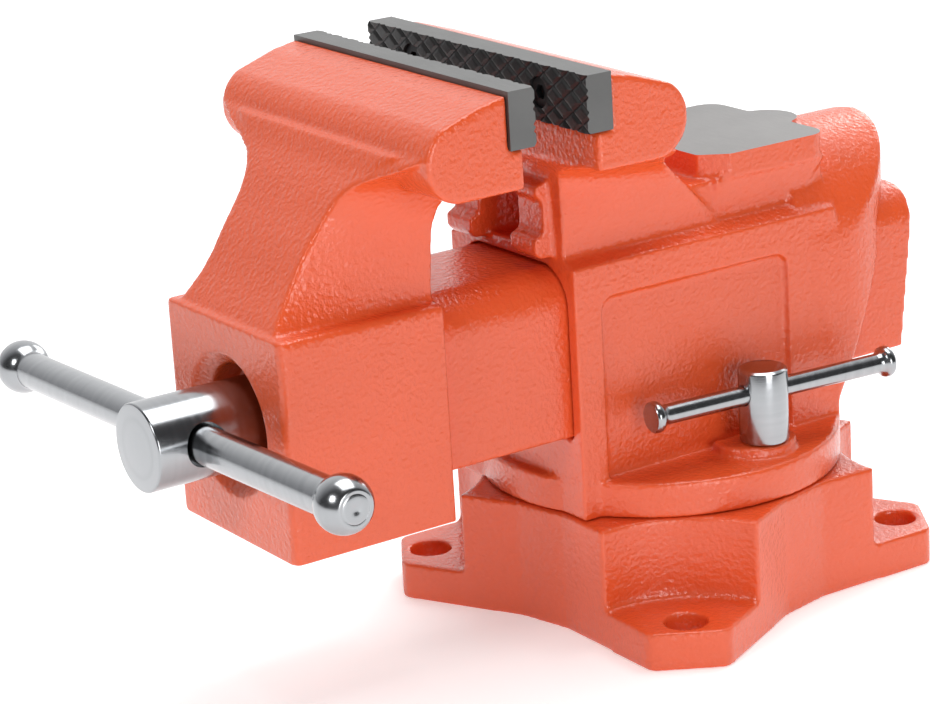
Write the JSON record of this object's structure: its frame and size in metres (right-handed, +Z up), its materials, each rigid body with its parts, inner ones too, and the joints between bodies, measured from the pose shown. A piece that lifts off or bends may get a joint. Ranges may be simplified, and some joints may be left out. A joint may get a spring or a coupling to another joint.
{
  "type": "bench vise",
  "caption": "Cast bench vise on a swivel base, with serrated steel jaws, pipe jaws below them, a flat anvil, a sliding handle and clamp screws for the turntable.",
  "frame": {"origin": "the swivel axis at the bench surface, which is also the centre of the four bench holes", "axes": "+X along the jaws, +Y from the handle towards the tail of the slide, +Z up"},
  "size_m": [0.2936, 0.3849, 0.26],
  "materials": {
    "orange_enamel": "glossy enamel over fine sand-cast iron, ground bright on the anvil face",
    "dark_tool_steel": "hardened and oiled, cross-cut gripping face, ground edges",
    "bright_chrome": "polished, with turned end faces",
    "black_steel": "black oxide",
    "plain_steel": "plain turned steel, lightly greased",
    "bare_iron": "bare casting, machined bore"
  },
  "bodies": {
    "base": {"swivel_base": "orange_enamel", "pivot_pin": "plain_steel"},
    "turntable": {"fixed_jaw_body": "orange_enamel", "fixed_jaw_plate": "dark_tool_steel", "fixed_plate_screws": "black_steel", "main_nut": "bare_iron", "nut_bolt": "black_steel", "clamp_nut_right": "bare_iron", "clamp_nut_left": "bare_iron"},
    "moving_jaw": {"moving_jaw": "orange_enamel", "moving_jaw_plate": "dark_tool_steel", "moving_plate_screws": "black_steel", "thrust_washer": "plain_steel", "take_up_spring": "plain_steel"},
    "screw": {"lead_screw": "bright_chrome", "screw_collar": "plain_steel", "collar_pin": "plain_steel"},
    "handle": {"handle_bar": "bright_chrome", "handle_ball_right": "bright_chrome", "handle_ball_left": "bright_chrome"},
    "clamp_screw_right": {"lock_screw_right": "bright_chrome"},
    "clamp_bar_right": {"lock_bar_right": "bright_chrome", "lock_bar_caps_right": "bright_chrome"},
    "clamp_screw_left": {"lock_screw_left": "bright_chrome"},
    "clamp_bar_left": {"lock_bar_left": "bright_chrome", "lock_bar_caps_left": "bright_chrome"}
  },
  "joints": [
    {"name": "swivel", "type": "hinge", "parent": "base", "child": "turntable", "pos_m": [0, 0, 0.0545], "axis": [0, 0, 1], "continuous": true},
    {"name": "jaw_slide", "type": "slide", "parent": "turntable", "child": "moving_jaw", "axis": [0, -1, 0], "range_m": [-0.025, 0.1246]},
    {"name": "screw_turn", "type": "hinge", "parent": "moving_jaw", "child": "screw", "pos_m": [0, -0.2416, 0.122], "axis": [0, -1, 0], "range_deg": [-1770, 8820]},
    {"name": "handle_slide", "type": "slide", "parent": "screw", "child": "handle", "axis": [0.9995, 0, 0.0332], "range_m": [-0.092, 0.118]},
    {"name": "clamp_turn_right", "type": "hinge", "parent": "turntable", "child": "clamp_screw_right", "pos_m": [0.0633, 0.0109, 0.0985], "axis": [0, 0, 1], "range_deg": [-1.5, 11]},
    {"name": "clamp_bar_slide_right", "type": "slide", "parent": "clamp_screw_right", "child": "clamp_bar_right", "axis": [0.0767, 0.9971, 0], "range_m": [-0.02, 0.038]},
    {"name": "clamp_turn_left", "type": "hinge", "parent": "turntable", "child": "clamp_screw_left", "pos_m": [-0.0633, 0.0109, 0.0985], "axis": [0, 0, 1], "range_deg": [-11, 1.5]},
    {"name": "clamp_bar_slide_left", "type": "slide", "parent": "clamp_screw_left", "child": "clamp_bar_left", "axis": [-0.0767, 0.9971, 0], "range_m": [-0.02, 0.038]}
  ],
  "couplings": [
    {"joint": "jaw_slide", "follows": "screw_turn", "m_per_rad": 0.00080851}
  ]
}
